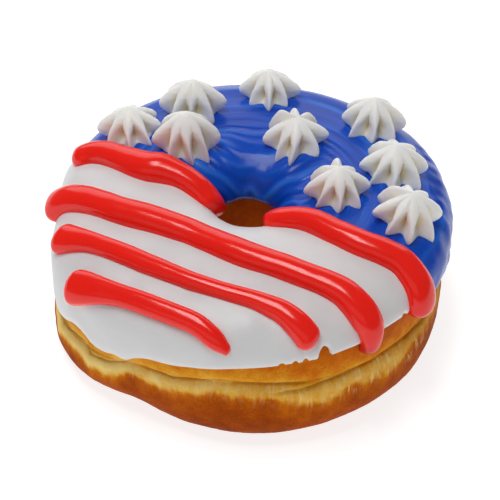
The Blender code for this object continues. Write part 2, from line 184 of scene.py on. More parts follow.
def on_ring(azimuth, run, lift=0.0):
    """Points at those azimuths, runs and lifts, in millimetres from the ring's axis."""
    azimuth, run, lift = np.broadcast_arrays(
        np.asarray(azimuth, float), np.asarray(run, float), np.asarray(lift, float))
    radius, height = place_at(run)
    out, up = normal_at(run)
    from_shoulder = (SHOULDER_HEIGHT - height) / (SHOULDER_HEIGHT - CREASE_HEIGHT)
    sagging = np.minimum(height / CREASE_HEIGHT, from_shoulder)
    outside = (radius > CREST_RADIUS) & (height < SHOULDER_HEIGHT)
    pushed = push(azimuth, radius, height)
    height = height - np.where(outside, sagging, 0) * round_the_ring(CREASE_SAG, azimuth)
    reach = radius * swell(azimuth) + pushed + out * lift
    angle = np.radians(azimuth)
    return np.stack([reach * np.cos(angle), reach * np.sin(angle), height + up * lift], axis=-1)


def moved(azimuth, run, along, outwards, strides=3):
    """The place reached by going that far round the ring and that far down its side, in millimetres."""
    for _ in range(strides):
        above, below = on_ring(azimuth, run - 0.5), on_ring(azimuth, run + 0.5)
        # Where the crease sags, one millimetre of run is stretched over more of the side.
        stretch = np.linalg.norm(below - above, axis=-1)
        radius = np.hypot(below[..., 0], below[..., 1])
        azimuth = azimuth + np.degrees(along / radius) / strides
        run = run + outwards / stretch / strides
    return azimuth, run


def raw_points(piece):
    """A piece's vertices in the mesh's own units."""
    flat = np.empty(len(piece.data.vertices) * 3)
    piece.data.vertices.foreach_get("co", flat)
    return flat.reshape(-1, 3)


def read_points(piece):
    """A piece's vertices in millimetres from the ring's axis."""
    return raw_points(piece) / MM - RING_AXIS


def write_points(piece, points):
    """Puts a piece's vertices there, and keeps them off the table."""
    points = points + RING_AXIS
    points[:, 2] = np.maximum(points[:, 2], 0.0)
    piece.data.vertices.foreach_set("co", (points * MM).ravel())
    piece.data.update()


def write_value(piece, name, values):
    """Stores one number, or one vector, a vertex for the material to read."""
    values = np.asarray(values, np.float32)
    kind = "FLOAT" if values.ndim == 1 else "FLOAT_VECTOR"
    layer = piece.data.attributes.new(name, kind, "POINT")
    layer.data.foreach_set("value" if values.ndim == 1 else "vector", values.ravel())


def cloud(points, scale, octaves=2, seed=0.0):
    """Smooth noise from about -1 to 1 at each point. scale is the size of a lump in the points' unit."""
    offset = Vector((seed, seed * 1.7, seed * 2.3))
    return np.array([
        noise.fractal(Vector(point) / scale + offset, 1.0, 2.0, octaves) for point in points.tolist()])


def finish_piece(piece, material, node):
    """Turns the faces outwards, smooths the shading and hands the piece to the frame."""
    bpy.ops.object.select_all(action="DESELECT")
    piece.select_set(True)
    bpy.context.view_layer.objects.active = piece
    bpy.ops.object.mode_set(mode="EDIT")
    bpy.ops.mesh.select_all(action="SELECT")
    bpy.ops.mesh.normals_make_consistent(inside=False)
    bpy.ops.object.mode_set(mode="OBJECT")
    bpy.ops.object.shade_smooth()
    piece.data.materials.clear()
    piece.data.materials.append(material)
    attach(piece, "root")
    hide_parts(node)
    print(piece.name, "has", len(piece.data.polygons), "faces")


# %% [markdown]
# ## Colours and nodes
#
# Hex colours are what a colour picker reads from a screen, so one function turns them to the linear
# values that Blender reckons with. A second small function adds any shader node with its settings and
# links, so that each material below reads as a list of what it is made of. Two more add what several
# materials share: fine pores, and the surface with the output.

# %% Colour and node helpers
def linear(hex_colour):
    """An sRGB hex colour as linear red, green, blue and alpha."""
    parts = [int(hex_colour[k:k + 2], 16) / 255 for k in (1, 3, 5)]
    return tuple(c / 12.92 if c <= 0.04045 else ((c + 0.055) / 1.055) ** 2.4 for c in parts) + (1.0,)


def add_node(tree, kind, settings=None, links=None):
    """Adds one node. A setting goes to the input or property of its name, a link joins two sockets."""
    made = tree.nodes.new(kind)
    for name, value in (settings or {}).items():
        if name == "stops":
            stops = made.color_ramp.elements
            while len(stops) < len(value):
                stops.new(0.5)
            for stop, (position, colour) in zip(stops, value):
                stop.position, stop.color = position, colour
        elif isinstance(name, int) or name in made.inputs:
            made.inputs[name].default_value = value
        else:
            setattr(made, name, value)
    for name, (source, output) in (links or {}).items():
        tree.links.new(source.outputs[output], made.inputs[name])
    return made


def new_material(name):
    """An empty material, and the tree to build it in."""
    material = bpy.data.materials.new(name)
    material.use_nodes = True
    material.node_tree.nodes.clear()
    return material, material.node_tree


def add_pores(tree, place, size, strength):
    """Fine pores of that size in millimetres, as a bump."""
    pores = add_node(tree, "ShaderNodeTexNoise", {"Scale": 1 / (size * MM), "Detail": 2.0},
                     {"Vector": (place, "Object")})
    return add_node(tree, "ShaderNodeBump", {"Strength": strength, "Distance": 0.03 * MM},
                    {"Height": (pores, "Fac")})


def add_surface(tree, settings, links=None):
    """The surface with those settings, joined to the material's output."""
    body = add_node(tree, "ShaderNodeBsdfPrincipled", settings, links)
    add_node(tree, "ShaderNodeOutputMaterial", links={"Surface": (body, "BSDF")})


# %% [markdown]
# ## Fried crust
#
# Dough browns where the hot oil reached it: dark on the underside, orange on the belly, golden above the
# crease, and nearly raw in a pale band under the crease, which floated above the oil line. There the
# skin was stretched as the ring rose, which leaves pale threads that run down the side. The browning is
# stored a vertex, because it follows the ring, and the shader only blots it and colours it.

# %% Material: fried yeast dough, matt with a little fat on it
crust, tree = new_material("fried_yeast_dough")
browning = add_node(tree, "ShaderNodeAttribute", {"attribute_name": "browning"})
threads = add_node(tree, "ShaderNodeAttribute", {"attribute_name": "threads"})
skin_place = add_node(tree, "ShaderNodeAttribute", {"attribute_name": "skin_place"})
shade = add_node(tree, "ShaderNodeAttribute", {"attribute_name": "shade"})
place = add_node(tree, "ShaderNodeTexCoord")
# Blots 4 mm across, and a grain of 0.5 mm, like the skin's own fine pores.
blots = add_node(tree, "ShaderNodeTexNoise", {"Scale": 1 / (4 * MM), "Detail": 4.0, "Roughness": 0.6},
                 {"Vector": (place, "Object")})
grain = add_node(tree, "ShaderNodeTexNoise", {"Scale": 1 / (0.5 * MM), "Detail": 3.0, "Roughness": 0.7},
                 {"Vector": (place, "Object")})
blotted = add_node(tree, "ShaderNodeMath", {"operation": "MULTIPLY_ADD", 1: 0.44},
                   {0: (blots, "Fac"), 2: (browning, "Fac")})
grained = add_node(tree, "ShaderNodeMath", {"operation": "MULTIPLY_ADD", 1: 0.24},
                   {0: (grain, "Fac"), 2: (blotted, "Value")})
# The centre of both noises is 0.5, so half of both shares is taken off again.
level = add_node(tree, "ShaderNodeMath", {"operation": "SUBTRACT", 1: 0.34}, {0: (grained, "Value")})
tones = add_node(tree, "ShaderNodeValToRGB", {"stops": [
    (0.00, linear("#FAD884")), (0.18, linear("#F0BA52")), (0.36, linear("#E29A22")),
    (0.56, linear("#CE6A00")), (0.78, linear("#AC4A00")), (1.00, linear("#803200"))]},
    {"Fac": (level, "Value")})
# Threads 0.8 mm wide and five times as long, drawn in coordinates that follow the ring's side.
strands = add_node(tree, "ShaderNodeTexNoise", {"Scale": 1 / 0.8, "Detail": 3.0, "Distortion": 0.6},
                   {"Vector": (skin_place, "Vector")})
strand = add_node(tree, "ShaderNodeMapRange", {"From Min": 0.47, "From Max": 0.62},
                  {"Value": (strands, "Fac")})
stretched = add_node(tree, "ShaderNodeMath", {"operation": "MULTIPLY"},
                     {0: (threads, "Fac"), 1: (strand, "Result")})
threaded = add_node(tree, "ShaderNodeMix", {"data_type": "RGBA", 7: linear("#F8DA90")},
                    {0: (stretched, "Value"), 6: (tones, "Color")})
# Painted shade: the groove of the crease and the thin line low on the side are darkened towards this olive
# brown.
with_painted_shade = add_node(tree, "ShaderNodeMix", {"data_type": "RGBA", 7: linear("#9C7014")},
                  {0: (shade, "Fac"), 6: (threaded, 2)})
skin = add_node(tree, "ShaderNodeBump", {"Strength": 0.6, "Distance": 0.12 * MM},
                {"Height": (grain, "Fac")})
add_surface(tree, {
    "Roughness": 0.65, "IOR": 1.44, "Specular IOR Level": 0.06, "Subsurface Weight": 0.12,
    "Subsurface Radius": (1.0, 0.5, 0.2), "Subsurface Scale": 1.2 * MM},
    {"Base Color": (with_painted_shade, 2), "Normal": (skin, "Normal")})
print("made", crust.name)

# %% [markdown]
# ## The ring of dough
#
# A ring with a fat section could start as a torus. Here a circle is bent to the real section and turned
# once round with Spin, as on a lathe, because that puts the rows of faces where they are needed: close
# together on the side that shows, far apart under the icing. The turned ring is then pushed into its
# hand-made shape, with the swollen lips of the crease, wrinkles of stretched skin, a fold and soft lumps.

# %% Turn the ring
RING_STEPS = 460
# Rows of faces on each stretch of the section, from one run to the next.
STRETCHES = [(-18.0, 22.0, 14), (22.0, CREASE_RUN - 2, 24), (CREASE_RUN - 2, CREASE_RUN + 2, 20),
             (CREASE_RUN + 2, FOOT_RUN, 58), (FOOT_RUN, HEEL_RUN, 8), (HEEL_RUN, LENGTH - 18, 34)]
rows = np.concatenate([np.linspace(a, b, count, endpoint=False) for a, b, count in STRETCHES])
bpy.ops.object.select_all(action="DESELECT")
bpy.ops.mesh.primitive_circle_add(vertices=len(rows), radius=BELLY_RADIUS * MM)
ring = bpy.context.active_object
ring.name = "ring_of_dough"
radius, height = place_at(rows)
write_points(ring, np.column_stack([radius, 0 * radius, height]))
write_value(ring, "run", rows)
bpy.ops.object.mode_set(mode="EDIT")
bpy.ops.mesh.select_all(action="SELECT")
bpy.ops.mesh.spin(steps=RING_STEPS, angle=math.tau, center=Vector(RING_AXIS) * MM, axis=(0, 0, 1))
bpy.ops.mesh.select_all(action="SELECT")
bpy.ops.mesh.remove_doubles(threshold=0.01 * MM)
bpy.ops.object.mode_set(mode="OBJECT")
print("turned ring:", len(ring.data.vertices), "vertices")

# %% [markdown]
# The crease isn't one even line. It wanders, and in front it breaks: the left part runs out above a
# second fold, which starts lower and climbs to the right, with a pale tongue of skin between them.

# %% Crease, folds, wrinkles and lumps
WALL_RADIUS = 45
turned = read_points(ring)
azimuth = np.degrees(np.arctan2(turned[:, 1], turned[:, 0]))
run = np.array([item.value for item in ring.data.attributes["run"].data])
# Places on the side as on a straight wall, where noise can be stretched along the run.
wrap = np.column_stack([
    WALL_RADIUS * np.cos(np.radians(azimuth)), WALL_RADIUS * np.sin(np.radians(azimuth)), run])
# How far below its even height the crease runs, by azimuth, on the left of the fold and on its right.
LEFT_CREASE = [(-180, 1.5), (-159, 1.8), (-150, -0.4), (-145, -0.6), (-141.5, 1.9), (-135, 1.5),
               (-127, -0.4), (-119.5, 0.0), (-112, 0.9), (-105, 0.1), (-98, -0.8), (-89, -0.1),
               (-80, 0.5), (-74, 0.4), (180, 1.5)]
RIGHT_CREASE = [(-180, 0.0), (-84, 2.6), (-75, 2.1), (-67, 1.2), (-59, 0.1), (-45, 0.0), (-28, 1.2),
                (0, 0.5), (180, 0.0)]
FOLD_AZIMUTH = -77.0
# How far the groove goes in, and how far the lips above and below it stand out.
GROOVE_DEPTH, UPPER_LIP, LOWER_LIP = 0.5, 0.3, 0.4


def hump(x, width):
    """A smooth bump of height 1 at 0."""
    return np.exp(-((x / width) ** 2))


def step_up(x, width):
    """Rises smoothly from 0 to 1 round 0."""
    return 0.5 + 0.5 * np.tanh(x / width)


wander = CREASE_RUN + 0.25 * cloud(wrap * (1, 1, 0), 5.0, 2, 3.0)
below_left = run - wander - np.interp(azimuth, *np.array(LEFT_CREASE).T)
below_right = run - wander - np.interp(azimuth, *np.array(RIGHT_CREASE).T)
behind = azimuth > 90
below_right = np.where(behind, below_left, below_right)
right_share = np.where(behind, 0, step_up(azimuth - FOLD_AZIMUTH, 3.0))
from_crease = below_left * (1 - right_share) + below_right * right_share
left_fold = hump(below_left, 0.3) * np.where(behind, 1, step_up(FOLD_AZIMUTH + 3 - azimuth, 1.5))
right_fold = hump(below_right, 0.34) * np.where(behind, 1, step_up(azimuth - FOLD_AZIMUTH + 5, 1.5))
groove = np.maximum(left_fold, right_fold)
lips = UPPER_LIP * hump(from_crease + 1.8, 1.5) + LOWER_LIP * hump(from_crease - 2.0, 1.8)
threads_mask = step_up(from_crease - 0.3, 0.3) * (1 - step_up(from_crease - 6.5, 2.0))
fibres = cloud(wrap * (1, 1, 0.16), 1.3, 3, 8.0)
wrinkles = cloud(wrap * (1, 1, 0.3), 3.2, 2, 12.0)
lumps = cloud(turned, 13.0, 2, 5.0)
pimples = cloud(turned, 1.6, 2, 15.0)
# A thin line low on the side, broken here and there, and one soft dent at the left.
foot_line = hump(run - FOOT_RUN + 5.2, 0.35) * step_up(cloud(wrap * (1, 1, 0), 14.0, 1, 30.0) + 0.25, 0.2)
dent = hump(azimuth + 127, 9) * hump(run - FOOT_RUN + 8, 6)
on_side = step_up(run - 23, 2.0) * (run < FOOT_RUN + 3)
lift = (lips - GROOVE_DEPTH * groove + 0.30 * wrinkles * threads_mask + 0.10 * fibres * threads_mask
        + 0.35 * lumps * on_side - 0.35 * foot_line - dent + 0.07 * pimples * on_side)
write_points(ring, on_ring(azimuth, run, lift))

# %% [markdown]
# The browning goes by the distance from the crease. The border of the pale band is ragged, because the
# oil lapped at it, so that distance is first shifted by noise of two sizes.

# %% Browning a vertex
ragged = 2.4 * cloud(wrap * (1, 1, 0.4), 8.0, 2, 21.0) + 1.4 * cloud(wrap * (1, 1, 0.45), 2.4, 3, 44.0)
distance = from_crease + np.where(from_crease > 1.0, ragged * step_up(from_crease - 2.5, 1.2), 0.25 * ragged)
# Far round on the right the oil stood higher and the band is narrower. What is on the right ends behind.
not_behind = step_up(60 - azimuth, 20)
far_right = step_up(azimuth + 34, 10) * not_behind
distance = distance + 4.0 * far_right * step_up(from_crease - 1.6, 0.8)
brown = np.interp(distance, [-12, -7, -4, -1.5, -0.3, 0.6, 2, 3.8, 5.2, 7.5, 11, 16, 22],
                  [0.64, 0.58, 0.48, 0.34, 0.24, 0.12, 0.06, 0.20, 0.56, 0.72, 0.80, 0.88, 0.98])
# The band is palest on the left, and the skin above the crease is darkest on the right.
band_tone = np.interp(azimuth, [-180, -140, -115, -85, 0, 180], [-0.10, -0.10, 0.0, 0.14, 0.12, 0.0])
at_right = step_up(azimuth + 62, 12) * not_behind
brown = brown + band_tone * hump(distance - 1.8, 2.6) + 0.12 * at_right * step_up(-distance, 1.0)
# The underside is dark, and the wall of the hole is lighter towards the top.
underneath = np.interp(run, [FOOT_RUN - 2, FOOT_RUN + 16, FOOT_RUN + 28, LENGTH], [0.95, 0.95, 0.66, 0.62])
brown = np.where(run > FOOT_RUN - 2, underneath, np.where(run < 0, 0.62, brown))
write_value(ring, "browning", brown)
# The skin is stretched most on the right, where threads of it reach far down.
on_right = step_up(azimuth + 70, 14) * not_behind
fibres_show = step_up(from_crease - 0.3, 0.3) * (1 - step_up(from_crease - 4.0 - 2.4 * on_right, 1.3))
fibres_show = fibres_show * (1 - step_up(azimuth + 30, 8) * not_behind)
write_value(ring, "threads", fibres_show * (0.5 + 0.4 * on_right) * np.clip(0.6 + fibres, 0, 1))
write_value(ring, "skin_place", wrap * (1, 1, 0.2))
# Painted shade, darkest in the groove of the crease and along the thin line low on the side.
write_value(ring, "shade", np.clip(0.35 * groove**1.5 + 0.6 * foot_line, 0, 1) * (run > 10))
finish_piece(ring, crust, "dough")

# %% [markdown]
# ## Where the icing ends
#
# The ring was dipped face down in the white icing and set upright, so the icing ran down the side and
# stopped in a wavy, rounded rim. It hangs lowest at the left and has one small drip that reaches the
# crease. In front its rim is nibbled by crumbs, with one round notch. The rim is given as azimuth and
# run, the far side like the near one.

# %% The rims of the icing
RIM = np.array([
    (-180, 32.2), (-172, 32.8), (-165, 33.2), (-156, 31.7), (-146, 29.7), (-141, 29.9), (-138, 31.2),
    (-133, 31.6), (-129, 31.0), (-126, 31.9), (-124, 30.6), (-120, 29.6), (-115, 29.5), (-109, 29.2),
    (-103, 28.7), (-93.5, 27.5), (-84, 27.1), (-79, 26.6), (-72, 26.3), (-65, 25.8), (-60, 25.9),
    (-52, 25.2), (-46, 25.2), (-37, 26.2), (-31, 26.0), (-25, 28.6), (-21, 29.4), (-16, 28.6), (-8, 29.6),
    (0, 28.2), (12, 27.0), (20, 27.6), (30, 26.4), (45, 27.6), (60, 27.2), (75, 28.1), (90, 26.8),
    (104, 28.2), (120, 27.7), (134, 29.4), (150, 29.2), (165, 31.2), (180, 32.2)])
HOLE_RIM = [-21.0, -20.5, -20.0, -22.0, -23.0, -22.0]
# Round bites out of the rim: azimuth, half width in degrees, depth.
BITES = [(-69.6, 1.9, 2.4), (-74.8, 0.8, 0.8), (-77.6, 0.7, 0.6), (-81.2, 0.9, 0.5), (-43.2, 1.0, 0.6)]
# The icing rounds off over this length at its rims, and there its face dips into the dough a little.
ICING_THICKNESS, RIM_ROUND, RIM_SHAPE, RIM_DIP = 1.7, 2.2, 2.3, 0.25


def outer_rim(azimuth):
    """The run of the icing's lower rim."""
    azimuth = (np.asarray(azimuth, float) + 180) % 360 - 180
    # Readings a degree apart are averaged, so that the rim has no corners.
    spread = [np.interp((azimuth + turn + 180) % 360 - 180, RIM[:, 0], RIM[:, 1])
              for turn in (-1.5, -0.5, 0.5, 1.5)]
    rim = sum(spread) / len(spread)
    for middle, half, depth in BITES:
        rim = rim - depth * np.sqrt(np.clip(1 - ((azimuth - middle) / half) ** 2, 0, 1))
    return rim


def icing_lift(azimuth, run):
    """The lift of the icing's outer face, which rounds down to the dough at both rims."""
    inside = np.minimum(outer_rim(azimuth) - run, run - round_the_ring(HOLE_RIM, azimuth))
    share = np.clip(1 - inside / RIM_ROUND, 0, 1)
    return ICING_THICKNESS * (1 - share**RIM_SHAPE) ** (1 / RIM_SHAPE) - RIM_DIP * share**4


print("icing reaches down to run", outer_rim(np.arange(-180, 180)).max().round(1))

# %% [markdown]
# ## Sugar icing, white and blue
#
# White icing is fine sugar in water and fat: satin, nearly opaque, and a little soft to light, which is
# what subsurface scattering gives. The blue icing holds more glucose, so it sets glossier. It was spread
# on with a small knife, and the knife's strokes show as shallow ridges that catch the light.

# %% Material: white sugar icing
white, tree = new_material("white_sugar_icing")
place = add_node(tree, "ShaderNodeTexCoord")
clouding = add_node(tree, "ShaderNodeTexNoise", {"Scale": 1 / (9 * MM), "Detail": 2.0},
                    {"Vector": (place, "Object")})
tint = add_node(tree, "ShaderNodeValToRGB", {"stops": [
    (0.3, linear("#DEDEDF")), (0.7, linear("#E3E4E4"))]}, {"Fac": (clouding, "Fac")})
rough = add_node(tree, "ShaderNodeMapRange", {"To Min": 0.34, "To Max": 0.44},
                 {"Value": (clouding, "Fac")})
# Sugar grain of 0.5 mm, coarser than real so that it shows at all.
pores = add_pores(tree, place, 0.5, 0.12)
add_surface(tree, {
    "IOR": 1.42, "Subsurface Weight": 0.35, "Subsurface Radius": (1.0, 0.95, 0.9),
    "Subsurface Scale": 1.0 * MM},
    {"Base Color": (tint, "Color"), "Roughness": (rough, "Result"), "Normal": (pores, "Normal")})
print("made", white.name)

# %% Material: glossy blue icing
blue, tree = new_material("glossy_blue_icing")
place = add_node(tree, "ShaderNodeTexCoord")
stroke = add_node(tree, "ShaderNodeAttribute", {"attribute_name": "stroke"})
# The ridges of the knife strokes are painted a little lighter, as a painted highlight along them.
tint = add_node(tree, "ShaderNodeValToRGB", {"stops": [
    (0.25, linear("#0640AE")), (0.6, linear("#0A4CBE")), (0.9, linear("#2A6CD0"))]},
    {"Fac": (stroke, "Fac")})
pores = add_pores(tree, place, 0.5, 0.1)
add_surface(tree, {"IOR": 1.42, "Roughness": 0.26, "Specular IOR Level": 0.3},
            {"Base Color": (tint, "Color"), "Normal": (pores, "Normal")})
print("made", blue.name)

# %% [markdown]
# ## A coat of icing for each half
#
# An icing is a sheet with a thickness. It starts as a grid and is extruded once, which makes a thin
# closed slab. The slab's own coordinates then say where each vertex goes: x round the half ring, y from
# the rim in the hole to the lower rim, and z whether it is the face or the underside. The underside
# dips into the dough, so that no light passes between them. The border between the colours is a straight
# line seen from above.

# %% Lay the slabs on the ring
BORDER_DIRECTION, BORDER_OFFSET = -29.5, 5.0
FRONT_AZIMUTH = BORDER_DIRECTION - 90
ICING_COLUMNS, ICING_ROWS = 600, 90
# How deep the underside lies in the dough, and the rounds after which the border no longer moves.
ICING_BED, BORDER_ROUNDS = 0.7, 5


def knife_strokes(azimuth, run):
    """Ridges left by the knife: round the ring on its top, and slanting down into the hole."""
    azimuth = np.where(azimuth < -60, azimuth + 360, azimuth)
    radius = place_at(run)[0]
    arc = np.radians(azimuth - 82) * np.maximum(radius, 13)
    into_hole = step_up(-1 - run, 3.0)
    slant = (-0.05 + 0.8 * np.tanh((azimuth - 84) / 16)) * into_hole
    across = run * np.cos(slant) - arc * np.sin(slant)
    along = run * np.sin(slant) + arc * np.cos(slant)
    return cloud(np.column_stack([across, along * 0.11, 0 * arc]), 2.3, 3, 50.0)


def lay_icing(name, side, material, node):
    """One half of the icing. side is 1 for the front and -1 for the back."""
    bpy.ops.object.select_all(action="DESELECT")
    bpy.ops.mesh.primitive_grid_add(x_subdivisions=ICING_COLUMNS, y_subdivisions=ICING_ROWS, size=1)
    sheet = bpy.context.active_object
    sheet.name = name
    bpy.ops.object.mode_set(mode="EDIT")
    bpy.ops.mesh.select_all(action="SELECT")
    bpy.ops.mesh.extrude_region_move(TRANSFORM_OT_translate={"value": (0, 0, -1)})
    bpy.ops.object.mode_set(mode="OBJECT")
    x, y, z = raw_points(sheet).T
    middle = FRONT_AZIMUTH if side > 0 else FRONT_AZIMUTH + 180
    azimuth = middle + 180 * x
    # Rows lie closest together on top, midway between the rims.
    down = y + 0.5 + 0.07 * np.sin(math.tau * (y + 0.5))
    for _ in range(BORDER_ROUNDS):
        low = round_the_ring(HOLE_RIM, azimuth)
        run = low + (outer_rim(azimuth) - low) * down
        radius = np.hypot(*on_ring(azimuth, run)[:, :2].T)
        azimuth = middle + np.degrees(np.arccos(side * BORDER_OFFSET / radius)) * 2 * x
    on_top = z > -0.5
    lift = icing_lift(azimuth, run)
    points = on_ring(azimuth, run, lift)
    if side > 0:
        relief = 0.34 * cloud(points, 12.0, 2, 60.0) + 0.14 * cloud(points, 5.0, 1, 70.0)
    else:
        strokes = knife_strokes(azimuth, run)
        deep = 0.13 + 0.24 * step_up(-1.0 - run, 3.0)
        # On the right the icing set in soft folds where it ran down.
        folds = hump(azimuth - np.where(azimuth > 180, 360, 0), 34) * step_up(run - 17, 2.5)
        relief = deep * strokes + 0.2 * cloud(points, 10.0, 1, 80.0)
        relief = relief + 0.5 * folds * cloud(points, 3.6, 1, 90.0)
        # The ridge heights drive the painted highlight on the ridges.
        write_value(sheet, "stroke", 0.5 + 0.5 * strokes)
    relief = relief * lift / ICING_THICKNESS
    write_points(sheet, on_ring(azimuth, run, np.where(on_top, lift + relief, -ICING_BED)))
    finish_piece(sheet, material, node)


lay_icing("front_icing", 1, white, "icing_white")
lay_icing("back_icing", -1, blue, "icing_blue")

# %% [markdown]
# ## Piping gel
#
# The red lines are piping gel: sugar syrup set with starch, smooth as glass, clear, and strongly dyed.
# Where it lies on the white icing it looks bright, and where it hangs down onto the brown dough it looks
# darker and more like wine. That is stored a vertex, because it depends on what lies under the gel.

# %% Material: red piping gel
gel, tree = new_material("red_piping_gel")
under = add_node(tree, "ShaderNodeAttribute", {"attribute_name": "over_dough"})
tint = add_node(tree, "ShaderNodeValToRGB", {"stops": [(0.0, linear("#FF2012")), (1.0, linear("#C4101E"))]},
                {"Fac": (under, "Fac")})
add_surface(tree, {
    "IOR": 1.45, "Roughness": 0.17, "Subsurface Weight": 0.1, "Subsurface Radius": (1.0, 0.1, 0.05),
    "Subsurface Scale": 1.0 * MM}, {"Base Color": (tint, "Color")})
print("made", gel.name)

# %% [markdown]
# ## The route of a line
#
# Each line was piped in one pull along the border's direction, with a steady hand that still swayed. Its
# route is a distance from the ring's axis, its offset, that changes along the line. The ends are given as
# runs, because they hang down the ring's side or into the hole.

# %% Follow the lines over the ring
# The height at which a line is laid out, the steps of its first drawing, the even steps of its route,
# and the rounds after which its azimuths no longer change.
LINE_LIFT, LINE_STEPS, ROUTE_STEPS, LINE_ROUNDS = 3.5, 90, 400, 8
# A route is smoothed over this length to each side, so that a wide bead never folds in a bend.
LINE_BEND = 2.2
# ends: runs of the left and right end. sway: travel along the line and offset from the ring's axis.
# width: share of the line's length from the left, and half its width there.
LINES = {
    "red_line_back_left": {
        "ends": (19.8, -17.4),
        "sway": [(-43, 7.5), (-40.5, 5.9), (-38.3, 5.1), (-35.7, 4.8), (-31, 5.3), (-25.6, 5.4),
                 (-23, 5.2), (-20.5, 4.3), (-15.2, 3.8), (-7.2, 3.7), (-3, 4.4)],
        "width": [(0, 2.9), (0.1, 3.2), (0.2, 3.4), (0.3, 3.5), (0.42, 4.1), (0.54, 4.5), (0.65, 3.7),
                  (0.75, 3.4), (0.88, 3.6), (1, 3.6)]},
    "red_line_back_right": {
        "ends": (-15.0, 27.0),
        "sway": [(8, 4.4), (12.1, 4.0), (15, 3.6), (18, 3.4), (21.1, 3.8), (23.8, 4.3), (29, 4.7),
                 (32, 4.7), (34.4, 4.3), (37, 3.9), (40, 3.5), (42.1, 3.6), (44.4, 4.3), (46.4, 4.9),
                 (47.8, 5.7), (48.6, 6.6)],
        "width": [(0, 1.9), (0.04, 2.5), (0.08, 3.0), (0.2, 3.2), (0.3, 3.4), (0.5, 3.45), (0.7, 3.5),
                  (0.85, 3.8), (0.93, 3.8), (1, 3.2)]},
    "red_line_middle": {
        "ends": (23.4, 28.7),
        "sway": [(-40, 22.2), (-35.2, 21.3), (-31, 21.1), (-26.3, 21.3), (-21.5, 21.6), (-16.6, 21.0),
                 (-11.8, 20.6), (-2.3, 20.2), (6.8, 20.7), (11.5, 20.7), (16.1, 20.5), (20.8, 20.1),
                 (25.5, 20.0), (30.2, 19.5), (34.9, 19.4), (39.4, 20.5), (43.1, 21.6), (44.4, 22.6),
                 (45.4, 23.6)],
        "width": [(0, 3.6), (0.05, 3.7), (0.1, 3.4), (0.2, 3.4), (0.3, 3.9), (0.4, 3.5), (0.46, 3.3),
                  (0.55, 3.6), (0.65, 3.25), (0.75, 3.2), (0.85, 3.6), (0.9, 3.5), (0.935, 2.4),
                  (0.96, 1.9), (1, 1.8)]},
    "red_line_front": {
        "ends": (20.6, 22.5),
        "sway": [(-31.6, 32.5), (-28.5, 32.9), (-21.6, 32.7), (-14.2, 33.0), (-6.8, 33.4), (4.3, 33.5),
                 (8.0, 33.2), (11.6, 32.8), (15.3, 32.2), (18.9, 31.6), (22.6, 31.3), (26.3, 31.1),
                 (29.8, 31.7), (33.0, 32.5), (35, 33.2)],
        "width": [(0, 3.3), (0.05, 3.2), (0.1, 2.8), (0.16, 2.4), (0.3, 2.5), (0.4, 2.35), (0.5, 2.1),
                  (0.62, 1.95), (0.72, 2.0), (0.82, 2.45), (0.9, 2.9), (1, 2.8)]},
    "red_line_short": {
        "ends": (22.5, 22.9),
        "sway": [(-20.1, 43.3), (-15.8, 43.3), (-11.2, 43.0), (-6.4, 42.7), (3.0, 42.5), (7.7, 42.3),
                 (10.0, 42.2), (12.4, 42.4), (14.6, 42.9), (16.8, 43.2), (19, 43.5)],
        "width": [(0, 3.1), (0.08, 3.3), (0.16, 3.0), (0.25, 2.45), (0.35, 2.15), (0.5, 2.15),
                  (0.8, 2.05), (0.9, 1.9), (0.96, 1.2), (1, 0.7)]},
}


def cross_line(sway, side, runs):
    """The azimuths at which a line crosses those runs, on its left side (-1) or right side (1)."""
    travels, offsets = np.array(sway).T
    azimuth = np.full(len(runs), FRONT_AZIMUTH)
    for _ in range(LINE_ROUNDS):
        reach = np.hypot(*on_ring(azimuth, runs, LINE_LIFT)[:, :2].T)
        turn = np.radians(azimuth - FRONT_AZIMUTH)
        offset = np.interp(reach * np.sin(turn), travels, offsets)
        azimuth = FRONT_AZIMUTH + side * np.degrees(np.arccos(np.clip(offset / reach, -1, 1)))
    return azimuth


def nearest_run(sway):
    """The run at which a line that stays out of the hole comes closest to the ring's axis."""
    offset = np.interp(0, *np.array(sway).T)
    runs = np.linspace(THROAT_RUN, SHOULDER_RUN, 2000)
    reach = np.hypot(*on_ring(FRONT_AZIMUTH, runs, LINE_LIFT)[:, :2].T)
    return runs[np.searchsorted(reach, offset)]


def line_route(line, count):
    """Azimuth and run at that many even steps along a line, and the line's length."""
    left, right = line["ends"]
    shares = np.linspace(0, 1, LINE_STEPS)
    if min(left, right) < 0:
        runs = left + (right - left) * shares
        azimuths = cross_line(line["sway"], -1 if right < 0 else 1, runs)
    else:
        nearest = nearest_run(line["sway"])
        near, far = (nearest + (end - nearest) * shares**2 for end in (left, right))
        runs = np.concatenate([near[:0:-1], far])
        azimuths = np.concatenate([
            cross_line(line["sway"], -1, near)[:0:-1], cross_line(line["sway"], 1, far)])
    spots = on_ring(azimuths, runs, LINE_LIFT)
    travelled = np.concatenate([[0], np.cumsum(np.linalg.norm(np.diff(spots, axis=0), axis=1))])
    wanted = np.linspace(0, travelled[-1], count)
    spread = 2 * round(LINE_BEND / travelled[-1] * count) + 1
    kernel = np.hanning(spread + 2)[1:-1]
    smooth = []
    for values in (azimuths, runs):
        padded = np.pad(np.interp(wanted, travelled, values), spread // 2, "reflect", reflect_type="odd")
        smooth.append(np.convolve(padded, kernel / kernel.sum(), "valid"))
    return smooth[0], smooth[1], travelled[-1]


for name, line in LINES.items():
    print(name, f"{line_route(line, 200)[2]:.1f} mm long")

# %% [markdown]
# ## The lines themselves
#
# A bead of gel is a round body drawn out long. A UV sphere has just that make-up: rings of faces from
# pole to pole, closed at both ends. Its poles become the two ends of the line, its rings are strung
# along the route, and its lower half is pressed flat on the icing.

# %% Draw the beads of gel
BEAD_RINGS, BEAD_SEGMENTS = 220, 40
# A bead's height is a part that is always there and a share of half its width.
BEAD_LOW, BEAD_ROUND = 0.8, 0.75
# How deep the underside lies in the dough, and the shares of the length over which the width is evened
# out and the direction is read.
BEAD_BED, WIDTH_BLEND, DIRECTION_STEP = 0.4, 0.035, 0.004


